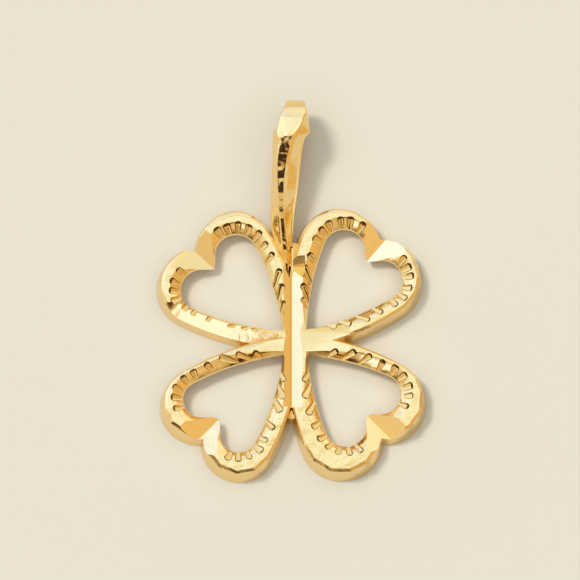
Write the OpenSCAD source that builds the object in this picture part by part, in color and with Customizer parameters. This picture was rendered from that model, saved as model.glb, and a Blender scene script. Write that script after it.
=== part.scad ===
// Open four leaf clover pendant with a fixed, fold-over bail: one gold casting that lies on its back.
// The clover's back is the plane z = 0, its face looks along +z and the bail points along +y.

/* [Leaf] */
// Distance from the clover's centre to the pointed end of each leaf's hole
hole_tip = 0.9; // [0.8:0.05:1.1]
// Distance from the clover's centre to the middle of the hole's two lobes
lobe_reach = 5.2; // [4.8:0.05:5.6]
// Radius of each lobe of the hole
lobe_r = 1.02; // [0.9:0.02:1.1]
// Distance of each lobe's middle from the leaf's own centreline
lobe_spread = 1.23; // [1.1:0.01:1.3]
// Radius of the long arc along each side of the hole
flank_r = 13; // [10:0.5:18]
// Half the angle of the tooth between the lobes
tooth_half = 45; // [40:1:50]

/* [Rim] */
// Width of the rim at its back, along the sides of the hole
rim_w = 1.1; // [1.05:0.01:1.2]
// Width of the rim at its back, round the lobes: the outer lobe's radius over the hole's
lobe_rim_w = 0.96; // [0.9:0.02:1.1]
// How much further from the clover's centre the outer lobes' middles lie than the hole's
outer_shift = 0.2; // [0.1:0.02:0.3]
// Height of the rim
rim_h = 1.3; // [1:0.05:1.5]
// How far the outer wall leans in from back to face
outer_draft = 0.16; // [0.05:0.01:0.2]
// How far the inner wall leans out from back to bevel
inner_draft = 0.06; // [0.02:0.02:0.1]
// Width of the bevel around the hole, the inner wall's lean included
bevel_w = 0.6; // [0.45:0.05:0.7]
// Width of the bevel at the pointed end of the hole
bevel_tip_w = 0.1; // [0.08:0.01:0.15]
// Height of the inner wall below the bevel
bevel_foot = 0.98; // [0.7:0.02:1.1]

/* [Notches] */
// Radius of the round burr that cuts the notches in the bevel
burr_r = 0.18; // [0.12:0.01:0.2]
// Distance between notches along the crease
notch_pitch = 0.62; // [0.5:0.02:0.9]
// Depth of each notch below the bevel
notch_depth = 0.13; // [0.08:0.01:0.18]
// Distance from the hole's pointed end to the first notch, along the hole's edge
notch_start = 1.5; // [1.2:0.1:2.5]
// Lean of the strokes towards the pointed end, at the first notch
notch_lean = 60; // [30:5:65]

/* [Diamond cuts] */
// Half the width of the cut across each leaf's cleft
cleft_half_w = 1.25; // [0.9:0.05:1.4]
// Depth of that cut at its valley
cleft_depth = 0.62; // [0.3:0.02:0.75]
// Width of the upright groove's left facet
upright_left_w = 0.42; // [0.3:0.02:0.5]
// Width of the upright groove's right facet
upright_right_w = 0.52; // [0.3:0.02:0.6]
// Depth of the upright groove
upright_depth = 0.3; // [0.15:0.01:0.45]
// Distance of the upright groove's valley left of the centre
upright_shift = 0.18; // [0:0.01:0.25]
// Reach of the upright groove above the centre
upright_up = 3.7; // [3:0.1:4]
// Reach of the upright groove below the centre
upright_down = 3.4; // [2.4:0.1:4]
// Width of the level groove's upper facet
level_upper_w = 0.26; // [0.15:0.01:0.4]
// Width of the level groove's lower facet
level_lower_w = 0.8; // [0.5:0.05:1]
// Depth of the level groove
level_depth = 0.15; // [0.05:0.01:0.2]
// Height of the level groove's valley above the centre
level_shift = 0.42; // [0.2:0.02:0.5]
// Reach of the level groove to each side
level_reach = 2.7; // [2:0.1:3.2]

/* [Bail] */
// Distance from the clover's centre to the far end of the bail
bail_reach = 12.3; // [11:0.1:13.5]
// Distance from the clover's centre to the place where the strap leaves the face
bail_foot = 4; // [3.6:0.1:4.4]
// Depth of the bail from back to front
bail_deep = 3.5; // [3:0.1:4]
// Thickness of the front strap and of the fold
strap_t = 0.78; // [0.6:0.02:0.9]
// Thickness of the back strap
back_t = 0.64; // [0.5:0.02:0.7]
// Width of the strap where it is widest
bail_w = 1.72; // [1.4:0.02:2]
// Distance of the strap's foot left of the clover's centreline
bail_lean = 0.76; // [0:0.02:0.9]
// Height of the strap's upright sides
strap_edge = 0.24; // [0.15:0.01:0.35]
// Slope of the flat cut on top of the fold, down towards its far end
fold_cut_slope = 2; // [0:1:12]
// Depth of that cut
fold_cut_depth = 0.1; // [0.06:0.01:0.2]

/* [Hidden] */
$fn = 48;

// The leaves: bearing of the hole's centreline, shares of lobe_reach, lobe_r, lobe_spread, rim_w,
// outer_reach and outer_r, the angle by which the outer outline stands askew of the hole, and shares of
// cleft_half_w for each side of the cleft
BEARING = 0;
REACH = 1;
LOBE = 2;
SPREAD = 3;
RIM = 4;
OUT_REACH = 5;
OUT_LOBE = 6;
ASKEW = 7;
CUT_LEFT = 8;
CUT_RIGHT = 9;
LEAVES = [
    [50,    1.01, 0.98, 1.01, 1.11, 0.96, 1.11, 2,    1.00, 1.06],
    [136.5, 1.01, 1.02, 1.01, 0.92, 1.03, 1.03, -1,   1.20, 0.84],
    [225.5, 1.03, 0.88, 1.05, 0.96, 1.04, 0.97, 1.5,  1.00, 0.80],
    [-46,   0.93, 0.98, 0.98, 1.10, 0.95, 1.07, -3,   0.72, 1.00],
];

// The strap: a row for each section, in shares of its run from front foot to back end, of bail_w and
// of bail_lean, and the shares of its width that slope down to its left and right sides
ALONG = 0;
WIDTH = 1;
LEAN = 2;
LEFT_SLOPE = 3;
RIGHT_SLOPE = 4;
STRAP = [
    [0,    0.50, 1.00, 0.22, 0.45],
    [0.14, 0.68, 1.00, 0.20, 0.48],
    [0.28, 0.82, 0.78, 0.16, 0.52],
    [0.40, 1.00, 0.28, 0.14, 0.48],
    [0.44, 0.98, 0.10, 0.14, 0.38],
    [0.49, 0.78, 0.04, 0.14, 0.16],
    [0.60, 0.70, 0.10, 0.14, 0.16],
    [0.80, 0.64, 0.66, 0.14, 0.16],
    [1,    0.56, 0.96, 0.14, 0.16],
];

// How fast the bevel widens from the hole's tip: it is full after 1 / bevel_rise of the long arc
bevel_rise = 1.6;
// Distance from the hole's tip to the start of the cleft's cut, out in the open hole
cleft_from = 3;

// How far round a lobe the notches go: this angle past the leaf's own direction
notch_end = 0;
// How far the strap's two ends run on into the clover
foot_depth = 0.6;

// Steps along each kind of curve
burr_sides = 8;
flank_steps = 10;
lobe_steps = 15;
strap_steps = 9;
fold_steps = 14;
// How far each wall's upper points stand back from its lower ones, in steps: the wall folds between them
facet_skew = 0.3;
// How far a cutter stands clear of what it cuts
clear = 1;

// The outer lobes follow the hole's lobes
outer_r = lobe_r + lobe_rim_w;
outer_reach = lobe_reach + outer_shift;

// Plane geometry
function on_arc(centre, r, angle) = centre + r * [cos(angle), sin(angle)];
function bearing_to(from, to) = atan2(to[1] - from[1], to[0] - from[0]);
function flipped(points) = [for (i = [len(points) - 1:-1:0]) [points[i][0], -points[i][1]]];

// Closed outline from one side, which starts and ends on the leaf's centreline
function both_sides(side) = let (other = flipped(side))
    concat(side, [for (i = [1:len(other) - 2]) other[i]]);

// Hole of one leaf: a long arc runs from its tip into each lobe, and a tooth stands between the lobes
tip = [hole_tip, 0];
function lobe_radius(leaf) = lobe_r * leaf[LOBE];
function lobe_centre(leaf) = [lobe_reach * leaf[REACH], lobe_spread * leaf[SPREAD]];

// Middle of the long arc: it passes through the tip and touches the lobe's circle from outside
function flank_centre(leaf) = let (
        lobe_c = lobe_centre(leaf),
        apart = norm(lobe_c - tip),
        bearing = bearing_to(tip, lobe_c),
        inset = (pow(flank_r, 2) - pow(flank_r - lobe_radius(leaf), 2) + pow(apart, 2)) / (2 * apart))
    tip + inset * [cos(bearing), sin(bearing)]
    + sqrt(pow(flank_r, 2) - pow(inset, 2)) * [sin(bearing), -cos(bearing)];

// Straight side of the tooth, from the end of a lobe's arc to the centreline
function tooth_point(p) = [p[0] - p[1] / tan(tooth_half), 0];

// Share of an arc at its step i, moved back by `skew` of a step except at the arc's end
function arc_share(i, steps, skew) = i < steps ? (i - skew) / steps : 1;

// One side of the hole's outline, drawn `out` wider than the hole and `out_tip` wider at its tip
function hole_side(leaf, out_tip, out, skew = 0) = let (
        lobe_c = lobe_centre(leaf),
        flank_c = flank_centre(leaf),
        start = bearing_to(flank_c, tip),
        join = bearing_to(flank_c, lobe_c),
        end = tooth_half - 90,
        flank = [for (i = [1:flank_steps])
            let (share = arc_share(i, flank_steps, skew),
                grown = out_tip + (out - out_tip) * min(1, bevel_rise * share))
            on_arc(flank_c, flank_r + grown, start + (join - start) * share)],
        lobe = [for (i = [1:lobe_steps])
            on_arc(lobe_c, lobe_radius(leaf) + out, join + (end - join) * arc_share(i, lobe_steps, skew))])
    concat([[hole_tip + out_tip / cos(start), 0]], flank, lobe, [tooth_point(lobe[lobe_steps - 1])]);

// One side of the leaf's outer outline, drawn `inward` narrower than at its back
function outer_side(leaf, inward, skew = 0) = let (
        flank_c = flank_centre(leaf),
        back_r = outer_r * leaf[OUT_LOBE],
        back_flank_r = flank_r + rim_w * leaf[RIM],
        reach = outer_reach * leaf[OUT_REACH],
        lobe_c = [reach, flank_c[1] + sqrt(pow(back_flank_r - back_r, 2) - pow(reach - flank_c[0], 2))],
        flank_r = back_flank_r - inward,
        r = back_r - inward,
        start = 180 - asin(-flank_c[1] / flank_r),
        join = bearing_to(flank_c, lobe_c),
        end = -asin(lobe_c[1] / r))
    concat(
        [on_arc(flank_c, flank_r, start)],
        [for (i = [1:flank_steps])
            on_arc(flank_c, flank_r, start + (join - start) * arc_share(i, flank_steps, skew))],
        [for (i = [1:lobe_steps])
            on_arc(lobe_c, r, join + (end - join) * arc_share(i, lobe_steps, skew))]);

// Solid through a stack of rings of points, every ring with as many points as the first
module loft(rings) {
    n = len(rings[0]);
    last = len(rings) - 1;
    polyhedron(
        points = [for (ring = rings) each ring],
        faces = concat(
            [[for (i = [n - 1:-1:0]) i]],
            [[for (i = [0:n - 1]) last * n + i]],
            [for (k = [0:last - 1], i = [0:n - 1]) let (j = (i + 1) % n)
                each [[k * n + i, (k + 1) * n + j, (k + 1) * n + i], [k * n + i, k * n + j, (k + 1) * n + j]]]));
}

function level(outline, z) = [for (p = outline) [p[0], p[1], z]];

// Solid leaf, before its hole is cut
module leaf_blank(leaf) {
    rotate(leaf[ASKEW])
        loft([
            level(both_sides(outer_side(leaf, 0)), 0),
            level(both_sides(outer_side(leaf, outer_draft, facet_skew)), rim_h)]);
}

// What the hole and its bevel take away
module hole_cutter(leaf) {
    back = both_sides(hole_side(leaf, 0, 0));
    wall = both_sides(hole_side(leaf, inner_draft, inner_draft, facet_skew));
    crease = both_sides(hole_side(leaf, bevel_tip_w, bevel_w));
    loft([level(back, -clear), level(back, 0), level(wall, bevel_foot), level(crease, rim_h),
        level(crease, rim_h + clear)]);
}

// Groove along +x with a triangular section, below a face at z = 0
module groove(length, left_w, right_w, depth) {
    rotate([90, 0, 90])
        linear_extrude(length)
            polygon([[-right_w, 0], [0, -depth], [left_w, 0], [left_w, clear], [-right_w, clear]]);
}

// Flat facets cut across a leaf's cleft, with the valley on its centreline
module cleft_cut(leaf) {
    translate([hole_tip + cleft_from, 0, rim_h])
        groove(outer_r + lobe_reach, cleft_half_w * leaf[CUT_LEFT], cleft_half_w * leaf[CUT_RIGHT],
            cleft_depth);
}

module cross_cuts() {
    translate([-upright_shift, -upright_down, rim_h])
        rotate(90)
            groove(upright_down + upright_up, upright_left_w, upright_right_w, upright_depth);
    translate([-level_reach, level_shift, rim_h])
        groove(2 * level_reach, level_upper_w, level_lower_w, level_depth);
}

// Round-ended stroke of the burr, from the origin along +x
module stroke(length) {
    hull() {
        rotate([0, 90, 0]) sphere(burr_r, $fn = burr_sides);
        translate([length, 0, 0]) rotate([0, 90, 0]) cylinder(h = burr_r / 2, r = burr_r, $fn = burr_sides);
    }
}

// Row of notches down one side of a leaf's bevel, each stroke from the crease down into the hole
module notches(leaf) {
    lobe_c = lobe_centre(leaf);
    flank_c = flank_centre(leaf);
    start = bearing_to(flank_c, tip);
    join = bearing_to(flank_c, lobe_c);
    crease_r = lobe_radius(leaf) + bevel_w;
    flank_run = (start - join) * PI / 180 * (flank_r + bevel_w);
    lobe_run = (join + notch_end) * PI / 180 * crease_r;
    for (along = [notch_start:notch_pitch:flank_run + lobe_run]) {
        on_flank = along < flank_run;
        share = along / flank_run;
        angle = on_flank ? start + (join - start) * share : join - (along - flank_run) / crease_r * 180 / PI;
        width = on_flank ? bevel_tip_w + (bevel_w - bevel_tip_w) * min(1, bevel_rise * share) : bevel_w;
        crease = on_flank ? on_arc(flank_c, flank_r + width, angle) : on_arc(lobe_c, crease_r, angle);
        lean = notch_lean * max(0, 1 - pow(share, 2));
        run = width / cos(lean);
        translate([crease[0], crease[1], rim_h + burr_r - notch_depth])
            rotate([0, atan((rim_h - bevel_foot) / run), angle + 180 - lean])
                stroke(run + burr_r * (1 + tan(lean)));
    }
}

module clover() {
    difference() {
        for (leaf = LEAVES) rotate(leaf[BEARING]) leaf_blank(leaf);
        for (leaf = LEAVES) rotate(leaf[BEARING]) {
            hole_cutter(leaf);
            cleft_cut(leaf);
            notches(leaf);
            mirror([0, 1, 0]) notches(leaf);
        }
        cross_cuts();
    }
}

// Strap of the bail, seen from the side: a straight front run, the fold, and a straight back run
fold_r = (bail_deep - strap_t / 2 - back_t / 2) / 2;
fold_c = [bail_reach - fold_r - strap_t / 2, back_t / 2 + fold_r];
foot = [bail_foot, rim_h - strap_t / 2];
foot_to_fold = norm(fold_c - foot);
rise = bearing_to(foot, fold_c) + asin(fold_r / foot_to_fold);
front_start = -foot_depth;
front_run = sqrt(pow(foot_to_fold, 2) - pow(fold_r, 2));
fold_run = (rise + 180) * PI / 180 * fold_r;
back_run = fold_c[0] - bail_foot + foot_depth;
strap_run = front_run + fold_run + back_run;

// Middle of the strap's thickness at a distance along it, and the bearing in which it runs there
function strap_bearing(at) = at < front_run ? rise : max(-180, rise - (at - front_run) / fold_r * 180 / PI);
function strap_point(at) =
    at < front_run ? foot + at * [cos(rise), sin(rise)]
    : at < front_run + fold_run ? on_arc(fold_c, fold_r, strap_bearing(at) + 90)
    : [fold_c[0] - (at - front_run - fold_run), fold_c[1] - fold_r];
function strap_value(at, column) = lookup(at / strap_run, [for (row = STRAP) [row[ALONG], row[column]]]);

// Six-sided section of the strap: flat within the loop, a flat crown between two slopes outside it
function strap_section(at) = let (
        middle = strap_point(at),
        outward = strap_bearing(at) + 90,
        half = bail_w * strap_value(at, WIDTH) / 2,
        x = -bail_lean * strap_value(at, LEAN),
        t = at < front_run + fold_run / 2 ? strap_t : strap_t + (back_t - strap_t)
            * min(1, (at - front_run - fold_run / 2) / (fold_run / 2)),
        left = x - half * (1 - 2 * strap_value(at, LEFT_SLOPE)),
        right = x + half * (1 - 2 * strap_value(at, RIGHT_SLOPE)),
        edge = strap_edge - t / 2,
        corners = [[x + half, -t / 2], [x + half, edge], [right, t / 2], [left, t / 2], [x - half, edge],
            [x - half, -t / 2]])
    [for (c = corners) [c[0], middle[0] + c[1] * cos(outward), middle[1] + c[1] * sin(outward)]];

module strap() {
    stations = concat(
        [for (i = [0:strap_steps]) front_start + (front_run - front_start) * i / strap_steps],
        [for (i = [1:fold_steps]) front_run + fold_run * i / fold_steps],
        [for (i = [1:strap_steps]) front_run + fold_run + back_run * i / strap_steps]);
    loft([for (at = stations) strap_section(at)]);
}

// Flat facet on top of the fold
module fold_cut() {
    translate([0, fold_c[0], fold_c[1]])
        rotate([-fold_cut_slope, 0, 0])
            translate([-bail_w, -fold_r, fold_r + strap_t / 2 - fold_cut_depth])
                cube([2 * bail_w, 2 * fold_r, clear]);
}

module bail() {
    difference() {
        strap();
        fold_cut();
    }
}

module clover_pendant() {
    color("gold") {
        clover();
        bail();
    }
}

clover_pendant();
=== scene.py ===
"""Open four leaf clover pendant with a fixed fold-over bail, one yellow gold casting lying on its back.

The piece is built in millimetres in the solid part's frame and scaled to metres at the end: the clover's
back is the plane z = 0, its face looks along +z and the bail points along +y. Angles that are kept as sizes
are in degrees, and left and right are meant as seen from the face, looking outwards along a leaf.
"""

import logging
import math
from dataclasses import dataclass, field
from enum import Enum, IntEnum
from typing import NamedTuple

import bmesh
import bpy
import numpy as np
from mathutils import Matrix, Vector


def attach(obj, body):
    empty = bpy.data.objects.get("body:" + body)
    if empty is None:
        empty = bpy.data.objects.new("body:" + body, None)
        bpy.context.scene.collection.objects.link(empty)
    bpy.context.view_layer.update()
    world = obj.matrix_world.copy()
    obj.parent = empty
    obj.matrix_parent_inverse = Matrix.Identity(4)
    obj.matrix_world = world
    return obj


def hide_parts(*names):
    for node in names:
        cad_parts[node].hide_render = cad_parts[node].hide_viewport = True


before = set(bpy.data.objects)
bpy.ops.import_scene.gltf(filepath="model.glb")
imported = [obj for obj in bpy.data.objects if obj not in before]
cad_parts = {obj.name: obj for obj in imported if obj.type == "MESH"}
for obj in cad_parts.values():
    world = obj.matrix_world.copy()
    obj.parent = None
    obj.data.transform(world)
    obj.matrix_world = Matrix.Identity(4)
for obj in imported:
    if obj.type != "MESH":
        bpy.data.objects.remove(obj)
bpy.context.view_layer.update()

log = logging.getLogger("clover_pendant")

MM = 0.001
CAD_NODE = "clover_pendant"

# Places of the colour sockets on a node that mixes two colours
MIX_BELOW, MIX_ABOVE, MIX_RESULT = 6, 7, 2

Span = tuple[float, float]
Triple = tuple[float, float, float]


# Shapes in the plane


def bearing_to(start: np.ndarray, end: np.ndarray) -> float:
    """Bearing in radians from one point to another."""
    return math.atan2(end[1] - start[1], end[0] - start[0])


def on_arc(centre: np.ndarray, radius: float | np.ndarray, angles: float | np.ndarray) -> np.ndarray:
    """Points round a centre.

    Args:
        centre: The arc's middle.
        radius: One radius, or one for each angle.
        angles: Bearings in radians.

    Returns:
        The points, one row each.
    """
    return np.asarray(centre) + np.stack([radius * np.cos(angles), radius * np.sin(angles)], axis=-1)


def closed(left: np.ndarray, right: np.ndarray) -> np.ndarray:
    """Closed outline from two sides that both start and end on the centreline."""
    return np.vstack([left, right[-2:0:-1]])


def turned(points: np.ndarray, degrees: float) -> np.ndarray:
    """Points turned about the origin, in the plane or about the upright axis.

    Args:
        points: Places in the plane or in space, one row each.
        degrees: The turn.

    Returns:
        The turned places.
    """
    c, s = math.cos(math.radians(degrees)), math.sin(math.radians(degrees))
    made = np.array(points, float)
    made[..., 0] = c * points[..., 0] - s * points[..., 1]
    made[..., 1] = s * points[..., 0] + c * points[..., 1]
    return made


def smooth_step(low: float, high: float, values: float | np.ndarray) -> np.ndarray:
    """Rises softly from 0 at `low` to 1 at `high`."""
    share = np.clip((np.asarray(values) - low) / (high - low), 0, 1)
    return share * share * (3 - 2 * share)


@dataclass(frozen=True)
class Ripple:
    """Smooth unevenness in space: a sum of plane waves in random directions."""

    height: float
    length: float
    seed: int
    waves: int = 9
    lengths: Span = (0.75, 1.35)

    def at(self, points: np.ndarray) -> np.ndarray:
        """Height of the ripple.

        Args:
            points: Places in millimetres, one row each.

        Returns:
            One height for each place, mostly within plus and minus `height`.
        """
        chance = np.random.default_rng(self.seed)
        ways = chance.normal(size=(self.waves, 3))
        ways /= np.linalg.norm(ways, axis=1, keepdims=True)
        rates = 2 * math.pi / (self.length * chance.uniform(*self.lengths, self.waves))
        phases = chance.uniform(0, 2 * math.pi, self.waves)
        places = np.asarray(points, float)
        if places.shape[-1] == 2:
            places = np.concatenate([places, np.zeros(places.shape[:-1] + (1,))], axis=-1)
        waves = np.sin(places @ (ways * rates[:, None]).T + phases)
        return self.height * waves.sum(axis=-1) / math.sqrt(2 * self.waves)


# Solids


class Surface(IntEnum):
    """How a stretch of the casting's surface was made; also its place in the list of finishes. Three kinds
    carry painted shade in their finish's colour: the near-black walls at the crease end of each burr stroke,
    the darker amber in the strokes' hollows and the deeper gold of the cast walls, bevels and bail.
    """

    # As-cast walls, bevels and bail, in a deeper gold that is painted shade.
    CAST = 0
    FACE = 1
    CUT = 2
    # Painted shade: near-black steep walls at the crease end of each burr stroke.
    PAINTED_SHADE = 3
    # Burr hollows, in a darker amber that is painted shade.
    STROKE = 4


class Joining(Enum):
    """How one solid is joined to another."""

    ADD = "UNION"
    CUT_AWAY = "DIFFERENCE"
    KEEP_WITHIN = "INTERSECT"


def plain_finish(kind: Surface) -> bpy.types.Material:
    """Empty material that stands for a kind of surface until the pendant is dressed."""
    name = f"gold_{kind.name.lower()}"
    return bpy.data.materials.get(name) or bpy.data.materials.new(name)


class Solid:
    """A closed mesh in millimetres that other solids are joined to."""

    def __init__(self, points: np.ndarray, faces: list[list[int]], surface: Surface) -> None:
        """Makes the mesh with its faces turned outwards.

        Args:
            points: Places, one row each.
            faces: Rows of point numbers.
            surface: The mark that all faces get.
        """
        mesh = bpy.data.meshes.new("blank")
        mesh.from_pydata(np.asarray(points, float).tolist(), [], faces)
        shell = bmesh.new()
        shell.from_mesh(mesh)
        bmesh.ops.recalc_face_normals(shell, faces=shell.faces)
        bmesh.ops.triangulate(shell, faces=[f for f in shell.faces if len(f.verts) > 4])
        for f in shell.faces:
            f.material_index = int(surface)
        shell.to_mesh(mesh)
        shell.free()
        for kind in Surface:
            mesh.materials.append(plain_finish(kind))
        self.body = bpy.data.objects.new("blank", mesh)
        bpy.context.scene.collection.objects.link(self.body)

    @classmethod
    def lofted(cls, rings: list[np.ndarray], surface: Surface) -> "Solid":
        """Solid through a stack of rings of points, every ring with as many points as the first.

        Args:
            rings: Arrays of places, one row each.
            surface: The mark that all faces get.

        Returns:
            The solid, with a flat cap at either end.
        """
        n = len(rings[0])
        last = (len(rings) - 1) * n
        here = np.arange(n)
        after = (here + 1) % n
        sides = [
            np.stack([k + here, k + after, k + n + after, k + n + here], axis=1)
            for k in range(0, last, n)
        ]
        faces = np.vstack(sides).tolist() + [list(range(n))[::-1], list(range(last, last + n))]
        return cls(np.vstack(rings), faces, surface)

    def mark_steep(self, surface: Surface, spot: np.ndarray, reach: float, upright: float) -> None:
        """Marks the steep faces near a spot.

        Args:
            surface: The mark that they get.
            spot: The spot in the plane.
            reach: How near to it a face's middle lies.
            upright: The most that such a face's normal points up or down.
        """
        for face in self.body.data.polygons:
            near = math.hypot(face.center[0] - spot[0], face.center[1] - spot[1]) < reach
            if near and abs(face.normal[2]) < upright:
                face.material_index = int(surface)

    def join(self, other: "Solid", joining: Joining) -> None:
        """Joins another solid, which is used up.

        Args:
            other: The solid to add, to cut away or to keep within.
            joining: Which of these is done.
        """
        step = self.body.modifiers.new("join", "BOOLEAN")
        step.operation = joining.value
        step.solver = "MANIFOLD"
        step.object = other.body
        shapes = bpy.context.evaluated_depsgraph_get()
        made = bpy.data.meshes.new_from_object(self.body.evaluated_get(shapes))
        self.body.modifiers.clear()
        old = self.body.data
        self.body.data = made
        bpy.data.meshes.remove(old)
        other.discard()

    def discard(self) -> None:
        """Removes the solid from the scene."""
        used = self.body.data
        bpy.data.objects.remove(self.body)
        bpy.data.meshes.remove(used)

    def places(self) -> np.ndarray:
        """All points, one row each."""
        found = np.empty(len(self.body.data.vertices) * 3)
        self.body.data.vertices.foreach_get("co", found)
        return found.reshape(-1, 3)

    def move_points(self, places: np.ndarray) -> None:
        """Puts the points in new places."""
        self.body.data.vertices.foreach_set("co", np.asarray(places, float).ravel())
        self.body.data.update()


def gathered(solids: list[Solid]) -> Solid:
    """One solid from several that stand clear of one another.

    Args:
        solids: The solids, which are used up but for the first.

    Returns:
        The first, which now holds them all.
    """
    first, *others = solids
    shell = bmesh.new()
    for solid in solids:
        shell.from_mesh(solid.body.data)
    shell.to_mesh(first.body.data)
    shell.free()
    for solid in others:
        solid.discard()
    return first


# The leaves


@dataclass(frozen=True)
class Rim:
    """Sizes that the rims of all leaves share."""

    height: float = 1.3
    outer_draft: float = 0.16
    inner_draft: float = 0.06
    undercut: float = 0.27
    bevel_w: float = 0.6
    bevel_tip_w: float = 0.1
    bevel_foot: float = 0.95
    bevel_round: float = 1.4
    crease_h: float = 0.006
    clear: float = 0.6

    @property
    def crease(self) -> float:
        """Height at which the bevel starts, just above the face."""
        return self.height + self.crease_h

    def bevel_height(self, share: float) -> float:
        """Height of the rounded bevel at a share of the way from the face down to the hole."""
        return self.crease - (self.height - self.bevel_foot) * share**self.bevel_round

    def bevel_width(self, share: float) -> float:
        """Width of the bevel at a share of the way from its width at the tip to its width at the lobe."""
        return self.bevel_tip_w + (self.bevel_w - self.bevel_tip_w) * min(1, share)


@dataclass(frozen=True)
class Leaf:
    """How one leaf differs: its bearing, and shares of the sizes that all leaves have.

    `askew` turns its outer outline against its hole. `cut_left` and `cut_right` are for the facets across its
    cleft, `filed` for the straight filed stretches, and `worn` says how far its outer edge is worn down.
    """

    bearing: float
    reach: float
    lobe: float
    spread: float
    rim: float
    out_reach: float
    out_lobe: float
    askew: float
    cut_left: float
    cut_right: float
    filed: float
    left_bevel: float = 1.0
    left_strokes: float = 1.0
    worn: float = 0.0


@dataclass(frozen=True)
class LeafLines:
    """Lines of one leaf seen from the face, with its centreline along +x."""

    leaf: Leaf
    hole_tip: float = 0.9
    lobe_reach: float = 5.2
    lobe_r: float = 1.02
    lobe_spread: float = 1.23
    flank_r: float = 13.0
    tooth_half: float = 45.0
    rim_w: float = 1.1
    outer_r: float = 1.98
    outer_reach: float = 5.4
    bevel_rise: float = 1.6
    bevel_eased: Span = (-0.15, 0.45)
    filed_pitch: float = 1.05
    filed_shift: float = 0.3
    flank_steps: int = 54
    lobe_steps: int = 50

    @property
    def tip(self) -> np.ndarray:
        """Pointed end of the hole."""
        return np.array([self.hole_tip, 0.0])

    @property
    def lobe_radius(self) -> float:
        """Radius of the hole's lobes."""
        return self.lobe_r * self.leaf.lobe

    @property
    def lobe_centre(self) -> np.ndarray:
        """Middle of the hole's left lobe."""
        return np.array([self.lobe_reach * self.leaf.reach, self.lobe_spread * self.leaf.spread])

    @property
    def flank_centre(self) -> np.ndarray:
        """Middle of the long arc, which passes through the tip and touches the lobe from outside."""
        apart = float(np.linalg.norm(self.lobe_centre - self.tip))
        bearing = bearing_to(self.tip, self.lobe_centre)
        inset = (self.flank_r**2 - (self.flank_r - self.lobe_radius) ** 2 + apart**2) / (2 * apart)
        off = math.sqrt(self.flank_r**2 - inset**2)
        along = np.array([math.cos(bearing), math.sin(bearing)])
        return self.tip + inset * along + off * np.array([along[1], -along[0]])

    @property
    def flank_turn(self) -> Span:
        """Bearings in radians at which the long arc starts at the tip and joins the lobe."""
        centre = self.flank_centre
        return bearing_to(centre, self.tip), bearing_to(centre, self.lobe_centre)

    def hole_side(self, out_tip: float, out: float, flank_share: float = 1) -> np.ndarray:
        """One side of the hole, from its tip to the point of the tooth.

        Args:
            out_tip: How much wider than the hole it is drawn at the tip.
            out: The same along the lobes.
            flank_share: The share of `out` that it is drawn wider along the flank.

        Returns:
            Points in the plane, one row each.
        """
        start, join = self.flank_turn
        end = math.radians(self.tooth_half - 90)
        share = np.arange(1, self.flank_steps + 1) / self.flank_steps
        grown = out_tip + (out * flank_share - out_tip) * np.minimum(1, self.bevel_rise * share)
        flank = on_arc(self.flank_centre, self.flank_r + grown, start + (join - start) * share)
        share = np.arange(1, self.lobe_steps + 1) / self.lobe_steps
        grown = out * (flank_share + (1 - flank_share) * smooth_step(*self.bevel_eased, share))
        lobe = on_arc(self.lobe_centre, self.lobe_radius + grown, join + (end - join) * share)
        last = lobe[-1]
        tooth = (last[0] - last[1] / math.tan(math.radians(self.tooth_half)), 0)
        return np.vstack([[self.hole_tip + out_tip / math.cos(start), 0], flank, lobe, [tooth]])

    def outer_side(self, inward: float | np.ndarray, sag: float | np.ndarray) -> np.ndarray:
        """One side of the leaf's outer outline, from the clover's middle to the cleft.

        Args:
            inward: How much narrower than the leaf's back it is drawn, the same all along or for each point.
            sag: Share of the way from the round outline to straight filed stretches.

        Returns:
            Points in the plane, one row each.
        """
        leaf, centre = self.leaf, self.flank_centre
        lobe_r = self.outer_r * leaf.out_lobe
        flank_r = self.flank_r + self.rim_w * leaf.rim
        reach = self.outer_reach * leaf.out_reach
        lobe_y = centre[1] + math.sqrt((flank_r - lobe_r) ** 2 - (reach - centre[0]) ** 2)
        lobe_c = np.array([reach, lobe_y])
        start = math.pi - math.asin(-centre[1] / flank_r)
        join = bearing_to(centre, lobe_c)
        end = -math.asin(lobe_y / lobe_r)
        flank_angles = np.linspace(start, join, self.flank_steps + 1)[:-1]
        lobe_angles = np.linspace(join, end, self.lobe_steps + 1)
        flank_run = (start - flank_angles) * flank_r
        lobe_run = (start - join) * flank_r + (join - lobe_angles) * lobe_r
        filed = np.concatenate([self.filed(flank_run, flank_r), self.filed(lobe_run, lobe_r)])
        inset = np.broadcast_to(inward, len(filed)) + filed * sag
        flank = on_arc(centre, flank_r - inset[: self.flank_steps], flank_angles)
        lobe = on_arc(lobe_c, lobe_r - inset[self.flank_steps :], lobe_angles)
        side = np.vstack([flank, lobe])
        side[0] = (centre[0] - math.sqrt((flank_r - inset[0]) ** 2 - centre[1] ** 2), 0)
        side[-1] = (reach + math.sqrt((lobe_r - inset[-1]) ** 2 - lobe_y**2), 0)
        return side

    def filed(self, run: np.ndarray, radius: float) -> np.ndarray:
        """How far straight filed stretches lie within a round outline.

        Args:
            run: Distances along the outline.
            radius: The outline's radius there.

        Returns:
            One distance inwards for each place.
        """
        across = 2 * np.mod(run / self.filed_pitch + self.filed_shift * self.leaf.askew, 1) - 1
        return self.filed_pitch**2 / (8 * radius) * (1 - across**2)


# The cuts in the face


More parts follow.
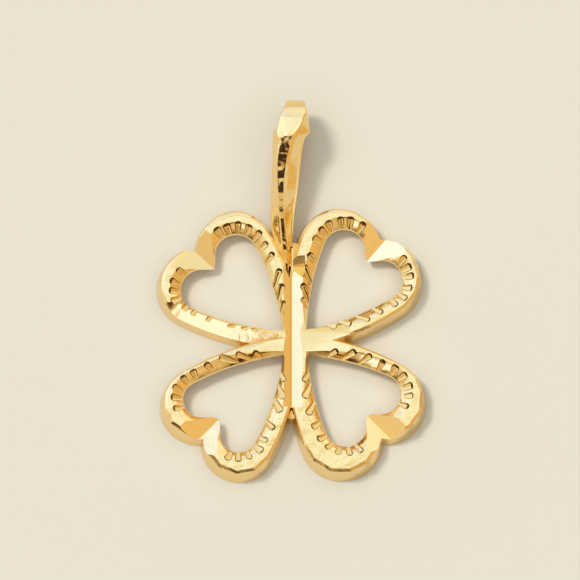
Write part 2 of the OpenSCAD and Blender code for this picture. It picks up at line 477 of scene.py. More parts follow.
@dataclass(frozen=True)
class Grooves:
    """Bright facets and grooves that are cut across the leaves: each method makes one cutter."""

    rim: Rim
    cleft_half_w: float = 1.25
    cleft_depth: float = 0.62
    cleft_from: float = 3.9
    cleft_to: float = 7.2
    upright_left_w: float = 0.42
    upright_right_w: float = 0.52
    upright_depth: float = 0.3
    upright_shift: float = 0.18
    upright_slant: float = 0.3
    upright_down: float = 3.4
    upright_up: float = 4.1
    run_on_overlap: float = 0.6
    run_on_up: float = 4.9
    nose_up: float = 4.38
    nose_x: Span = (-0.13, 0.48)
    nose_depth: float = 0.42
    nose_slope: float = 42.5
    nose_mouth: float = 1.1
    nose_length: float = 1.6
    level_upper_w: float = 0.5
    level_lower_w: float = 0.9
    level_depth: float = 0.07
    level_shift: float = 0.42
    level_reach: float = 2.7

    @property
    def high(self) -> float:
        """Height at which every cutter ends, well above the face."""
        return self.rim.height + self.rim.clear

    def ridge(self, run: Span, left: float, right: float, depth: float, slant: float = 0) -> np.ndarray:
        """Two rings of a three-sided cutter along +x, which leaves two facets with a valley between them.

        Args:
            run: Where it begins and ends.
            left: Width of its left facet at the face.
            right: Width of its right facet at the face.
            depth: Depth of its valley below the face.
            slant: How much further its far end reaches at the face than in the valley.

        Returns:
            The rings, as an array of two by three places.
        """
        top = self.rim.height
        rise = self.rim.clear / depth
        section = [
            (-right * (1 + rise), self.high),
            (0, top - depth),
            (left * (1 + rise), self.high),
        ]
        start, end = run
        lean = slant / depth
        first = [(start, y, z) for y, z in section]
        last = [(end + lean * (z - top + depth), y, z) for y, z in section]
        return np.array([first, last])

    def cleft(self, leaf: Leaf) -> Solid:
        """Pair of flat facets across a leaf's cleft, with the valley on its centreline.

        Args:
            leaf: Which leaf.

        Returns:
            The cutter, in its place in the clover.
        """
        left, right = self.cleft_half_w * leaf.cut_left, self.cleft_half_w * leaf.cut_right
        rings = self.ridge((self.cleft_from, self.cleft_to), left, right, self.cleft_depth)
        return Solid.lofted([turned(ring, leaf.bearing) for ring in rings], Surface.CUT)

    def level(self) -> Solid:
        """Shallow groove across the middle of the clover."""
        run = (-self.level_reach, self.level_reach)
        rings = self.ridge(run, self.level_upper_w, self.level_lower_w, self.level_depth)
        return Solid.lofted([ring + (0, self.level_shift, 0) for ring in rings], Surface.CUT)

    def upright(self) -> Solid:
        """Groove down the middle of the clover."""
        run = (-self.upright_down, self.upright_up - self.upright_slant)
        widths = (self.upright_left_w, self.upright_right_w)
        rings = self.ridge(run, *widths, self.upright_depth, self.upright_slant)
        placed = [turned(ring, 90) - (self.upright_shift, 0, 0) for ring in rings]
        return Solid.lofted(placed, Surface.CUT)

    def run_on(self) -> Solid:
        """Left facet of the upright groove, where it runs on under the strap's foot."""
        low = self.rim.height - self.upright_depth
        valley, wall = -self.upright_shift, self.nose_x[0]
        left = valley - self.upright_left_w * (1 + self.rim.clear / self.upright_depth)
        section = [(left, self.high), (valley, low), (wall, low), (wall, self.high)]
        run = (self.upright_up - self.run_on_overlap, self.run_on_up)
        return Solid.lofted([np.array([(x, y, z) for x, z in section]) for y in run], Surface.CUT)

    def nose(self) -> Solid:
        """Square-nosed upper end of the upright groove."""
        y, low = self.nose_up, self.rim.height - self.nose_depth
        rise = self.nose_depth / math.tan(math.radians(self.nose_slope))
        over = rise * (self.high - low) / self.nose_depth
        section = [
            (y - rise, low),
            (y - rise + over, self.high),
            (y - self.nose_length, self.high),
            (y - self.nose_mouth, self.rim.height),
        ]
        return Solid.lofted([np.array([(x, *point) for point in section]) for x in self.nose_x], Surface.CUT)


@dataclass(frozen=True)
class Burr:
    """Strokes of a burr down the bevels, spoon-shaped: steep and round at the crease, open at the hole."""

    rim: Rim
    half_w: float = 0.22
    half_w_shares: Span = (0.85, 1.1)
    depth: float = 0.145
    depth_shares: Span = (0.7, 1.25)
    early: float = 0.03
    early_spread: Span = (-0.04, 0.05)
    round_end: float = 0.2
    round_shares: tuple[float, ...] = (0.04, 0.1, 0.2, 0.35, 0.55, 0.8, 1.0)
    steep: float = 54.0
    fall: float = 0.23
    taper: float = 0.56
    squareness: float = 3.2
    above: float = 0.03
    clear: float = 0.1
    over: float = 0.25
    around: int = 15
    along: int = 8
    along_from: float = 1.35
    # Reach and steepness of the faces at a stroke's crease end that get the painted shade.
    painted_shade_reach: float = 0.26
    painted_shade_upright: float = 0.62
    first: float = 1.5
    pitch: float = 0.62
    flank_spread: float = 0.3
    spread_within: Span = (0.7, 1.0)
    astray: float = 0.07
    lean: float = 52.0
    lean_within: Span = (0.55, 1.1)
    lean_astray: float = 7.0
    light_until: float = 1.1
    light_power: int = 4

    def stroke(
        self, start: np.ndarray, bearing: float, run: float, weight: float, chance: np.random.Generator
    ) -> Solid:
        """One stroke.

        Args:
            start: The crease where the stroke starts, in the plane.
            bearing: Its bearing in radians, in the plane.
            run: Its length in the plane.
            weight: How heavy the stroke is.
            chance: Source of its small differences.

        Returns:
            The cutter, in its place in the clover.
        """
        half = self.half_w * chance.uniform(*self.half_w_shares) * math.sqrt(weight)
        depth = self.depth * chance.uniform(*self.depth_shares) * weight
        early = self.early + chance.uniform(*self.early_spread)
        ahead = np.array([math.cos(bearing), math.sin(bearing)])
        aside = np.array([-ahead[1], ahead[0]])
        top = self.rim.height + self.above
        length = run + early + self.over
        stations = np.concatenate(
            [
                np.array(self.round_shares) * self.round_end,
                np.linspace(self.round_end * self.along_from, length, self.along),
            ]
        )
        around = np.linspace(0, math.pi, self.around)
        wide = np.sign(np.cos(around)) * np.abs(np.cos(around)) ** (2 / self.squareness)
        deep = np.sin(around) ** (2 / self.squareness)
        rings = []
        for at in stations:
            near = min(1.0, at / self.round_end)
            w = half * math.sqrt(1 - (1 - near) ** 2) * (1 - self.taper * at / length)
            share = max(0.0, at - early) / run
            wall = min(depth, math.tan(math.radians(self.steep)) * at)
            floor = self.rim.height - wall - self.fall * share
            across = np.concatenate([w * wide, [-w, w]])
            heights = np.concatenate([top - (top - floor) * deep, [top + self.clear, top + self.clear]])
            spot = start + (at - early) * ahead
            rings.append(np.column_stack([spot + across[:, None] * aside, heights]))
        # The stroke's hollow gets a darker amber finish: painted shade.
        made = Solid.lofted(rings, Surface.STROKE)
        # The steep walls at the crease end get a near-black finish, which is painted shade standing in for
        # the dark arches there.
        made.mark_steep(Surface.PAINTED_SHADE, start - early * ahead, self.painted_shade_reach, self.painted_shade_upright)
        return made

    def places(self, flank_run: float, reach: float) -> list[float]:
        """Distances of the strokes along a crease, further apart along the flank, where they lie slanted.

        Args:
            flank_run: Length of the crease along the flank.
            reach: Length of the whole crease.

        Returns:
            The distances from the tip's end.
        """
        places = [self.first]
        while places[-1] < reach:
            slanted = 1 - smooth_step(*self.spread_within, places[-1] / flank_run)
            places.append(places[-1] + self.pitch * (1 + self.flank_spread * slanted))
        return places[:-1]

    def row(self, leaf: Leaf, mirrored: bool, odd: bool, seed: int) -> list[Solid]:
        """Every other stroke down one side of a leaf's bevel.

        Args:
            leaf: Which leaf.
            mirrored: Whether it is the leaf's right side.
            odd: Whether the row starts at its second stroke.
            seed: Start of the strokes' small differences.

        Returns:
            The cutters.
        """
        lines = LeafLines(leaf)
        start, join = lines.flank_turn
        crease_r = lines.lobe_radius + self.rim.bevel_w
        flank_run = (start - join) * (lines.flank_r + self.rim.bevel_w)
        lobe_run = join * crease_r
        chance = np.random.default_rng(seed)
        made = []
        for place in self.places(flank_run, flank_run + lobe_run)[int(odd) :: 2]:
            along = place + chance.uniform(-self.astray, self.astray)
            share = along / flank_run
            if along < flank_run:
                angle = start + (join - start) * share
                width = self.rim.bevel_width(lines.bevel_rise * share)
                crease = on_arc(lines.flank_centre, lines.flank_r + width, angle)
            else:
                angle = join - (along - flank_run) / crease_r
                width = self.rim.bevel_w
                crease = on_arc(lines.lobe_centre, crease_r, angle)
            slanted = self.lean * (1 - smooth_step(*self.lean_within, share))
            lean = math.radians(slanted + chance.uniform(-self.lean_astray, self.lean_astray))
            bearing = angle + math.pi - lean
            weight = 1.0
            if mirrored:
                crease, bearing = crease * (1, -1), -bearing
            else:
                light = min(1, (share / self.light_until) ** self.light_power)
                weight = leaf.left_strokes + (1 - leaf.left_strokes) * light
            spot = turned(crease, leaf.bearing)
            bearing += math.radians(leaf.bearing)
            made.append(self.stroke(spot, bearing, width / math.cos(lean), weight, chance))
        return made


# The clover


@dataclass(frozen=True)
class Web:
    """Low web that the casting leaves in the narrow angle between two leaves."""

    back: tuple[Span, Span, Span, Span]
    top: tuple[Triple, Triple, Triple, Triple]
    back_z: float = 0.05

    def build(self) -> Solid:
        """The web, from four corners near the back to four on its top."""
        back = np.array([(x, y, self.back_z) for x, y in self.back])
        return Solid.lofted([back, np.array(self.top)], Surface.CAST)


@dataclass(frozen=True)
class EdgeSide:
    """How the outer edge is finished along one side of a leaf, with one value for each point of the outline.

    `mirror` is 1 on the left side and -1 on the right. `width` is how wide the edge is broken, `rounding` how
    round it is rather than flat, and `worn` how far it is worn down.
    """

    mirror: int
    width: np.ndarray
    rounding: np.ndarray
    worn: np.ndarray


@dataclass
class Clover:
    """Four open leaves with bevelled holes in one casting, cut bright on its face."""

    rim: Rim = Rim()
    edge_r: float = 0.12
    soft_edge_r: float = 0.26
    soft_towards: Span = (-0.5, 0.87)
    soft_within: Span = (-0.1, 0.8)
    worn_towards: Span = (-0.4, -0.917)
    worn_within: Span = (0.78, 0.97)
    worn_w: float = 0.72
    worn_drop: float = 0.43
    unfiled: float = 0.85
    back_edge: float = 0.04
    back_levels: tuple[Span, ...] = ((1.0, 0.0), (0.3, 0.3), (0.0, 1.0))
    wall_levels: tuple[Span, ...] = ((0.2, 0.0), (0.35, 0.0), (0.48, 0.1), (0.6, 0.4))
    edge_levels: tuple[float, ...] = (0, 0.15, 0.3, 0.5, 0.7, 0.85, 1)
    above_inset: float = 1.05
    undercut_levels: tuple[Triple, ...] = ((0.7, 1.0, 0.0), (0.3, 0.5, 0.5))
    neck_draft: float = 0.3
    bevel_levels: tuple[float, ...] = (1, 0.9, 0.78, 0.66, 0.54, 0.42, 0.3, 0.18, 0.08)
    bevel_land: float = 0.1
    crease_out: float = 0.03
    crease_tip_share: float = 1.05
    crease_rise: float = 0.04
    face_reach: float = 7.6
    face_cell: float = 0.14
    uneven_face_from: float = 0.5
    uneven_wall_from: float = 0.3
    face_ripple: Ripple = Ripple(height=0.02, length=2.6, seed=4)
    wall_ripple: Ripple = Ripple(height=0.035, length=1.3, seed=9)
    leaves: tuple[Leaf, ...] = (
        Leaf(
            bearing=50, reach=1.01, lobe=0.98, spread=1.01, rim=1.11, out_reach=0.96, out_lobe=1.11,
            askew=2, cut_left=1.00, cut_right=1.06, filed=0.5,
        ),
        Leaf(
            bearing=136.5, reach=1.01, lobe=1.02, spread=1.01, rim=0.92, out_reach=1.03, out_lobe=1.03,
            askew=-1, cut_left=1.20, cut_right=0.84, filed=0.7, left_bevel=0.5, left_strokes=0.6, worn=1.0,
        ),
        Leaf(
            bearing=225.5, reach=1.03, lobe=0.88, spread=1.05, rim=0.96, out_reach=1.04, out_lobe=0.97,
            askew=1.5, cut_left=1.00, cut_right=0.80, filed=1.0,
        ),
        Leaf(
            bearing=-46, reach=0.93, lobe=0.98, spread=0.98, rim=1.10, out_reach=0.95, out_lobe=1.07,
            askew=-3, cut_left=0.72, cut_right=1.00, filed=1.0,
        ),
    )
    web_below: Web = Web(
        back=((-0.7, -2.9), (0.33, -2.9), (-0.02, -3.95), (-0.36, -3.95)),
        top=((-0.6, -2.9, 1.12), (0.25, -2.9, 1.12), (-0.05, -3.85, 0.62), (-0.36, -3.85, 0.62)),
    )
    web_by_strap: Web = Web(
        back=((-0.35, 3.9), (0.3, 3.9), (0.5, 5.3), (-0.4, 5.3)),
        top=((-0.3, 3.9, 1.25), (0.3, 3.9, 0.85), (0.45, 5.1, 0.75), (-0.35, 5.1, 1.25)),
    )

    def edge_sides(self, leaf: Leaf) -> list[EdgeSide]:
        """How the outer edge is finished on a leaf's two sides, from the way that each part of it faces.

        Args:
            leaf: Which leaf.

        Returns:
            The left side and the right.
        """
        back = LeafLines(leaf).outer_side(0, 0)
        outward = np.gradient(back, axis=0)[:, ::-1] * (-1, 1)
        outward = outward / np.linalg.norm(outward, axis=1, keepdims=True)
        sides = []
        for mirror in (1, -1):
            facing = turned(outward * (1, mirror), leaf.askew + leaf.bearing)
            rounding = smooth_step(*self.soft_within, facing @ np.array(self.soft_towards))
            worn = smooth_step(*self.worn_within, facing @ np.array(self.worn_towards)) * leaf.worn
            width = self.edge_r + (self.soft_edge_r - self.edge_r) * rounding
            sides.append(EdgeSide(mirror, width, rounding, worn))
        return sides

    def leaf_ring(
        self,
        leaf: Leaf,
        sides: list[EdgeSide],
        insets: list[float | np.ndarray],
        heights: list[float | np.ndarray],
        filed: float,
    ) -> np.ndarray:
        """Ring round the outside of a leaf.

        Args:
            leaf: Which leaf.
            sides: How its outer edge is finished on either side.
            insets: How far the left side and the right lie within the drafted wall.
            heights: Their heights.
            filed: How far the filed stretches show there.

        Returns:
            Places, one row each.
        """
        lines = LeafLines(leaf)
        draft = self.rim.outer_draft / self.rim.height
        halves = []
        for side, inset, height in zip(sides, insets, heights):
            drawn_in = inset + draft * np.minimum(height, self.rim.height)
            sag = filed * leaf.filed * (1 - self.unfiled * np.maximum(side.rounding, side.worn))
            outline = lines.outer_side(drawn_in, sag) * (1, side.mirror)
            halves.append(np.column_stack([outline, np.broadcast_to(height, len(outline))]))
        return turned(closed(*halves), leaf.askew + leaf.bearing)

    def leaf_blank(self, leaf: Leaf) -> Solid:
        """Solid leaf with a broken and worn outer edge, before its hole is cut.

        Args:
            leaf: Which leaf.

        Returns:
            The solid, in its place in the clover.
        """
        top, broken = self.rim.height, self.back_edge
        sides = self.edge_sides(leaf)
        levels = [([share * broken] * 2, [height * broken] * 2, 0) for share, height in self.back_levels]
        levels += [([0, 0], [share * top] * 2, filed) for share, filed in self.wall_levels]
        for share in self.edge_levels:
            angle = share * math.pi / 2
            insets, heights = [], []
            for side in sides:
                flat = 1 - side.rounding
                inset = side.width * (side.rounding * (1 - math.cos(angle)) + flat * share)
                drop = side.width * (side.rounding * (1 - math.sin(angle)) + flat * (1 - share))
                insets.append(np.maximum(inset, self.worn_w * share * side.worn))
                heights.append(top - np.maximum(drop, self.worn_drop * (1 - share) * side.worn))
            levels.append((insets, heights, 1))
        levels.append(([self.above_inset * inset for inset in insets], [top + self.rim.clear] * 2, 1))
        return Solid.lofted([self.leaf_ring(leaf, sides, *level) for level in levels], Surface.CAST)

    def face_slab(self) -> Solid:
        """Slab under a flat face in small cells, so that the face can be made uneven."""
        count = int(2 * self.face_reach / self.face_cell)
        ticks = np.linspace(-self.face_reach, self.face_reach, count)
        x, y = np.meshgrid(ticks, ticks)
        top = np.column_stack([x.ravel(), y.ravel(), np.full(x.size, self.rim.height)])
        number = np.arange(count * count).reshape(count, count)
        quads = np.stack(
            [number[:-1, :-1], number[:-1, 1:], number[1:, 1:], number[1:, :-1]], axis=-1
        ).reshape(-1, 4)
        border = np.concatenate([number[0, :-1], number[:-1, -1], number[-1, :0:-1], number[:0:-1, 0]])
        under = top[border] * (1, 1, 0) - (0, 0, self.rim.clear)
        low = count * count + np.arange(len(border))
        skirt = np.stack([border, low, np.roll(low, -1), np.roll(border, -1)], axis=1)
        faces = quads.tolist() + skirt.tolist() + [low.tolist()]
        return Solid(np.vstack([top, under]), faces, Surface.FACE)

    def make_uneven(self, clover: Solid) -> None:
        """Gives the face and the walls the soft unevenness of a cast and polished piece.

        Args:
            clover: The solid clover, before its holes are cut.
        """
        places = clover.places()
        flat = places * (1, 1, 0)
        raised = smooth_step(self.uneven_face_from * self.rim.height, self.rim.height, places[:, 2])
        sunk = smooth_step(0, self.uneven_wall_from * self.rim.height, places[:, 2])
        distance = np.linalg.norm(flat, axis=1, keepdims=True)
        inward = np.minimum(0, self.wall_ripple.at(places) - self.wall_ripple.height)[:, None]
        places += flat / np.maximum(distance, 1) * inward * sunk[:, None]
        places[:, 2] += raised * self.face_ripple.at(flat)
        clover.move_points(places)

    def hole_levels(self) -> list[Triple]:
        """Levels of a hole from under the back to above the face.

        Returns:
            How much wider than the hole each is at the tip and along the lobes, and its height.
        """
        rim = self.rim
        levels = [
            (tip * rim.undercut, out * rim.undercut, share * rim.bevel_foot)
            for tip, out, share in self.undercut_levels
        ]
        levels.insert(0, (*levels[0][:2], -rim.clear))
        levels.append((0.0, self.neck_draft * rim.inner_draft, rim.bevel_foot - self.bevel_land))
        for share in self.bevel_levels:
            out = rim.inner_draft + (rim.bevel_w - rim.inner_draft) * (1 - share)
            levels.append((rim.bevel_tip_w * out / rim.bevel_w, out, rim.bevel_height(share)))
        levels.append((rim.bevel_tip_w, rim.bevel_w, rim.crease))
        tip, out = rim.bevel_tip_w * self.crease_tip_share, rim.bevel_w + self.crease_out
        return levels + [(tip, out, rim.height + rise) for rise in (self.crease_rise, rim.clear)]

    def hole(self, leaf: Leaf) -> Solid:
        """What a leaf's hole and its bevel take away.

        Args:
            leaf: Which leaf.

        Returns:
            The cutter, in its place in the clover.
        """
        lines = LeafLines(leaf)
        low, high = self.rim.bevel_foot, self.rim.height - self.bevel_land
        rings = []
        for out_tip, out, height in self.hole_levels():
            left = lines.hole_side(out_tip, out, leaf.left_bevel if height > low else 1)
            right = lines.hole_side(out_tip, out) * (1, -1)
            outline = turned(closed(left, right), leaf.bearing)
            heights = height + self.face_ripple.at(outline) * smooth_step(low, high, height)
            rings.append(np.column_stack([outline, heights]))
        return Solid.lofted(rings, Surface.CAST)

    def build(self) -> Solid:
        """The whole clover without its bail."""
        clover, *blanks = [self.leaf_blank(leaf) for leaf in self.leaves]
        for blank in blanks:
            clover.join(blank, Joining.ADD)
        clover.join(self.face_slab(), Joining.KEEP_WITHIN)
        self.make_uneven(clover)
        clover.join(gathered([self.web_below.build(), self.web_by_strap.build()]), Joining.ADD)
        for leaf in self.leaves:
            clover.join(self.hole(leaf), Joining.CUT_AWAY)
        burr, grooves = Burr(self.rim), Grooves(self.rim)
        for mirrored in (False, True):
            for odd in (False, True):
                row = []
                for count, leaf in enumerate(self.leaves):
                    row += burr.row(leaf, mirrored, odd, seed=10 * count + 2 * mirrored + odd)
                clover.join(gathered(row), Joining.CUT_AWAY)
        for leaf in self.leaves:
            clover.join(grooves.cleft(leaf), Joining.CUT_AWAY)
        for cutter in (grooves.level(), grooves.upright(), grooves.nose(), grooves.run_on()):
            clover.join(cutter, Joining.CUT_AWAY)
        return clover


# The bail


class StrapSection(NamedTuple):
    """The strap's section at a share of its length, in shares of the strap's own width and lean.

    `left_slope` and `right_slope` are the shares of the section's width that lie beside the crown.
    """

    at: float
    width: float
    lean: float
    left_slope: float
    right_slope: float


class CrownStretch(NamedTuple):
    """The crown's pitch in degrees and the strength of its bumps at a share of the strap's length."""

    at: float
    pitch: float
    bumps: float


@dataclass
class Bail:
    """Tapered strap that rises from the face, folds over and comes back flat to the clover's back."""

    reach: float = 12.285
    foot_y: float = 4.0
    deep: float = 3.465
    face_z: float = Rim.height
    thickness: float = 0.78
    back_thickness: float = 0.64
    width: float = 1.72
    lean: float = 0.76
    aside: float = 0.03
    edge: float = 0.24
    foot_depth: float = 0.6
    run_in: float = 1.0
    step: float = 0.09
    eased_over: float = 0.1
    eased_steps: int = 9
    corner_share: float = 0.14
    side_shares: tuple[float, ...] = (0.28, 0.43, 0.57, 0.72)
    crown_corner: float = 0.3
    crown_from: Span = (0.1, 0.8)
    crown_to: Span = (0.2, 0.4)
    crown_bumps: Ripple = Ripple(height=0.016, length=0.5, seed=21)
    hand_bends: Ripple = Ripple(height=0.03, length=3.2, seed=5)
    bends_from: Span = (0.5, 3.0)
    cut_slope: float = 3.0
    cut_cant: float = 4.5
    cut_depth: float = 0.075
    cut_clear: float = 1.0
    crown: tuple[CrownStretch, ...] = (
        CrownStretch(0.0, 12, 1.0),
        CrownStretch(0.05, 8, 1.0),
        CrownStretch(0.07, 2, 1.0),
        CrownStretch(0.088, 0, 0.5),
        CrownStretch(0.124, 0, 0.5),
        CrownStretch(0.135, 9, 0.6),
        CrownStretch(0.195, 9, 0.6),
        CrownStretch(0.215, 1, 1.1),
        CrownStretch(0.235, 0, 0.8),
        CrownStretch(0.298, 0, 0.7),
        CrownStretch(0.304, 8, 0.5),
        CrownStretch(0.312, 8, 0.5),
        CrownStretch(0.318, 0, 0.8),
        CrownStretch(0.36, 0, 0.8),
        CrownStretch(1.0, 0, 0.0),
    )
    sections: tuple[StrapSection, ...] = (
        StrapSection(-0.055, 0.14, 0.50, 0.40, 0.34),
        StrapSection(-0.03, 0.26, 0.50, 0.40, 0.34),
        StrapSection(0.015, 0.36, 0.60, 0.40, 0.34),
        StrapSection(0.064, 0.52, 0.79, 0.46, 0.31),
        StrapSection(0.104, 0.62, 0.87, 0.46, 0.36),
        StrapSection(0.165, 0.69, 0.86, 0.34, 0.42),
        StrapSection(0.225, 0.76, 0.70, 0.19, 0.50),
        StrapSection(0.285, 0.80, 0.60, 0.13, 0.44),
        StrapSection(0.330, 0.88, 0.50, 0.17, 0.36),
        StrapSection(0.350, 0.95, 0.40, 0.16, 0.38),
        StrapSection(0.364, 1.09, 0.20, 0.12, 0.44),
        StrapSection(0.378, 0.97, 0.17, 0.10, 0.30),
        StrapSection(0.410, 0.86, 0.05, 0.08, 0.08),
        StrapSection(0.446, 0.68, -0.06, 0.10, 0.10),
        StrapSection(0.490, 0.66, 0.00, 0.14, 0.14),
        StrapSection(0.600, 0.66, 0.10, 0.14, 0.16),
        StrapSection(0.800, 0.62, 0.66, 0.14, 0.16),
        StrapSection(1.000, 0.54, 0.96, 0.14, 0.16),
    )

    @property
    def fold_r(self) -> float:
        """Radius of the fold at the middle of the strap's thickness."""
        return (self.deep - self.thickness / 2 - self.back_thickness / 2) / 2

    @property
    def fold_c(self) -> np.ndarray:
        """Middle of the fold, seen from the side."""
        y = self.reach - self.fold_r - self.thickness / 2
        return np.array([y, self.back_thickness / 2 + self.fold_r])

    @property
    def foot(self) -> np.ndarray:
        """Where the strap leaves the face, seen from the side."""
        return np.array([self.foot_y, self.face_z - self.thickness / 2])

    @property
    def rise(self) -> float:
        """Bearing in radians of the front run, seen from the side."""
        apart = float(np.linalg.norm(self.fold_c - self.foot))
        return bearing_to(self.foot, self.fold_c) + math.asin(self.fold_r / apart)

    @property
    def runs(self) -> Triple:
        """Lengths of the front run, the fold and the back run."""
        apart = float(np.linalg.norm(self.fold_c - self.foot))
        front = math.sqrt(apart**2 - self.fold_r**2)
        return front, (self.rise + math.pi) * self.fold_r, self.fold_c[0] - self.foot_y + self.foot_depth

    def route(self, at: np.ndarray) -> tuple[np.ndarray, np.ndarray]:
        """Middle of the strap seen from the side.

        Args:
            at: Distances along the strap.

        Returns:
            The places (y, z), one row each, and the bearings in which the strap runs there.
        """
        front, fold, _ = self.runs
        round_fold = np.maximum(-math.pi, self.rise - (at - front) / self.fold_r)
        bearing = np.where(at < front, self.rise, round_fold)
        ahead = self.foot + at[:, None] * (math.cos(self.rise), math.sin(self.rise))
        folded = on_arc(self.fold_c, self.fold_r, bearing + math.pi / 2)
        back_y = self.fold_c[0] - (at - front - fold)
        back = np.column_stack([back_y, np.full(len(at), self.fold_c[1] - self.fold_r)])
        middle = np.where((at < front)[:, None], ahead, folded)
        return np.where((at > front + fold)[:, None], back, middle), bearing

    def column(self, at: np.ndarray, name: str) -> np.ndarray:
        """A column of the table of sections, eased between its rows.

        Args:
            at: Distances along the strap.
            name: Which column.

        Returns:
            One value for each distance.
        """
        reach = sum(self.runs)
        shares = [section.at for section in self.sections]
        sizes = [getattr(section, name) for section in self.sections]
        spread = np.linspace(-self.eased_over, self.eased_over, self.eased_steps)
        return np.mean([np.interp((at + shift) / reach, shares, sizes) for shift in spread], axis=0)

    def corners(self, at: np.ndarray) -> np.ndarray:
        """Six corners of the strap's section, round from its right edge inside the loop to its left one.

        Args:
            at: Distances along the strap.

        Returns:
            For each distance the corners (across, outward), as an array of distances by corners by two.
        """
        front, fold, _ = self.runs
        half = self.width * self.column(at, "width") / 2
        x = -self.lean * self.column(at, "lean") - self.aside
        thinned = np.clip((at - front - fold / 2) / (fold / 2), 0, 1)
        t = self.thickness + (self.back_thickness - self.thickness) * thinned
        left = x - half * (1 - 2 * self.column(at, "left_slope"))
        right = x + half * (1 - 2 * self.column(at, "right_slope"))
        edge = self.edge - t / 2
        across = np.stack([x + half, x + half, right, left, x - half, x - half], axis=1)
        outward = np.stack([-t / 2, edge, t / 2, t / 2, edge, -t / 2], axis=1)
        return np.stack([across, outward], axis=-1)

    def eased_outline(self, corners: np.ndarray) -> np.ndarray:
        """Outlines with every corner eased and every side divided.

        Args:
            corners: The corners of each section.

        Returns:
            For each section and corner the eased corner and the points along the side that follows it.
        """
        following = np.roll(corners, -1, axis=1)
        shares = np.array([self.corner_share, *self.side_shares, 1 - self.corner_share])
        sides = corners[:, :, None] * (1 - shares)[:, None] + following[:, :, None] * shares[:, None]
        before = np.roll(sides[:, :, -1], 1, axis=1)
        eased = 0.5 * corners + 0.25 * before + 0.25 * sides[:, :, 0]
        return np.concatenate([eased[:, :, None], sides], axis=2)

    def crown_lift(self, at: np.ndarray, places: np.ndarray, crown: np.ndarray) -> np.ndarray:
        """How far the pitted crown stands out from a straight one.

        Args:
            at: Distances along the strap.
            places: The points of the section at each distance.
            crown: How far each point belongs to the crown.

        Returns:
            One distance outwards for each point.
        """
        front, fold, _ = self.runs
        share = np.clip(at / sum(self.runs), 0, 1)
        stretches = [stretch.at for stretch in self.crown]
        pitch = np.interp(share, stretches, [stretch.pitch for stretch in self.crown])
        bumps = np.interp(share, stretches, [stretch.bumps for stretch in self.crown])
        swell = np.cumsum(np.tan(np.radians(pitch))) * (at[1] - at[0])
        ends = (-self.foot_depth, front)
        swell -= np.interp(at, ends, np.interp(ends, at, swell))
        lift = crown * (self.crown_bumps.at(places) * bumps[:, None] + swell[:, None])
        fades_from, fades_to = (front + part * fold for part in self.crown_to)
        held = smooth_step(*self.crown_from, at) * (1 - smooth_step(fades_from, fades_to, at))
        return lift * held[:, None]

    def rings(self) -> list[np.ndarray]:
        """Sections of the strap, flat inside the loop, with a flat crown between two slopes outside it."""
        reach = sum(self.runs)
        at = np.linspace(-self.run_in, reach, int((self.run_in + reach) / self.step))
        middle, bearing = self.route(at)
        outward = bearing + math.pi / 2
        out_y, out_z = np.cos(outward)[:, None], np.sin(outward)[:, None]
        outline = self.eased_outline(self.corners(at))
        crown = np.zeros(outline.shape[:3])
        crown[:, 2, 1:] = 1
        crown[:, 2:4, 0] = self.crown_corner
        outline = outline.reshape(len(at), -1, 2)
        crown = crown.reshape(len(at), -1)
        y = middle[:, None, 0] + outline[:, :, 1] * out_y
        z = middle[:, None, 1] + outline[:, :, 1] * out_z
        places = np.stack([outline[:, :, 0], y, z], axis=-1)
        lift = self.crown_lift(at, places, crown)
        places[..., 1] += lift * out_y
        places[..., 2] += lift * out_z
        places[..., 0] += self.hand_bends.at(places) * smooth_step(*self.bends_from, at)[:, None]
        return list(places)

    def fold_cut(self) -> Solid:
        """Flat facet on top of the fold."""
        slope = math.radians(self.cut_slope)
        low = self.fold_r + self.thickness / 2 - self.cut_depth
        high = low + self.cut_clear
        along = np.array([-self.fold_r, self.fold_r, self.fold_r, -self.fold_r])
        out = np.array([low, low, high, high])
        y = self.fold_c[0] + along * math.cos(slope) + out * math.sin(slope)
        z = self.fold_c[1] - along * math.sin(slope) + out * math.cos(slope)
        cant = math.tan(math.radians(self.cut_cant))
        rings = [np.column_stack([np.full(len(y), x), y, z + cant * x]) for x in (-self.width, self.width)]
        return Solid.lofted(rings, Surface.CUT)

    def build(self) -> Solid:
        """The whole strap."""
        strap = Solid.lofted(self.rings(), Surface.CAST)
        strap.join(self.fold_cut(), Joining.CUT_AWAY)
        return strap


# Finishes


class NodeTree:
    """Shader nodes of a material or of the world, added one at a time."""

    def __init__(self, owner: bpy.types.Material | bpy.types.World) -> None:
        """Empties the owner's tree of nodes.

        Args:
            owner: The material or the world.
        """
        owner.use_nodes = True
        self.tree = owner.node_tree
        self.tree.nodes.clear()

    def add(
        self, kind: str, inputs: dict[int | str, object] | None = None, **settings: str
    ) -> bpy.types.Node:
        """Adds a node.

        Args:
            kind: Its type, without the words that all shader nodes start with.
            inputs: For each socket its value, or the socket of another node that is linked to it.
            settings: The node's own settings.

        Returns:
            The node.
        """
        node = self.tree.nodes.new(f"ShaderNode{kind}")
        for name, setting in settings.items():
            setattr(node, name, setting)
        for socket, value in (inputs or {}).items():
            if isinstance(value, bpy.types.NodeSocket):
                self.tree.links.new(value, node.inputs[socket])
            else:
                node.inputs[socket].default_value = value
        return node

    def soft_step(
        self, value: bpy.types.NodeSocket, start: float, end: float, top: float = 1.0
    ) -> bpy.types.NodeSocket:
        """Goes softly from 0 to a top value.

        Args:
            value: The socket that it follows.
            start: Where it leaves 0.
            end: Where it reaches the top value.
            top: The top value.

        Returns:
            The socket that gives it.
        """
        inputs = {"Value": value, "From Min": start, "From Max": end, "To Max": top}
        return self.add("MapRange", inputs, interpolation_type="SMOOTHSTEP").outputs["Result"]


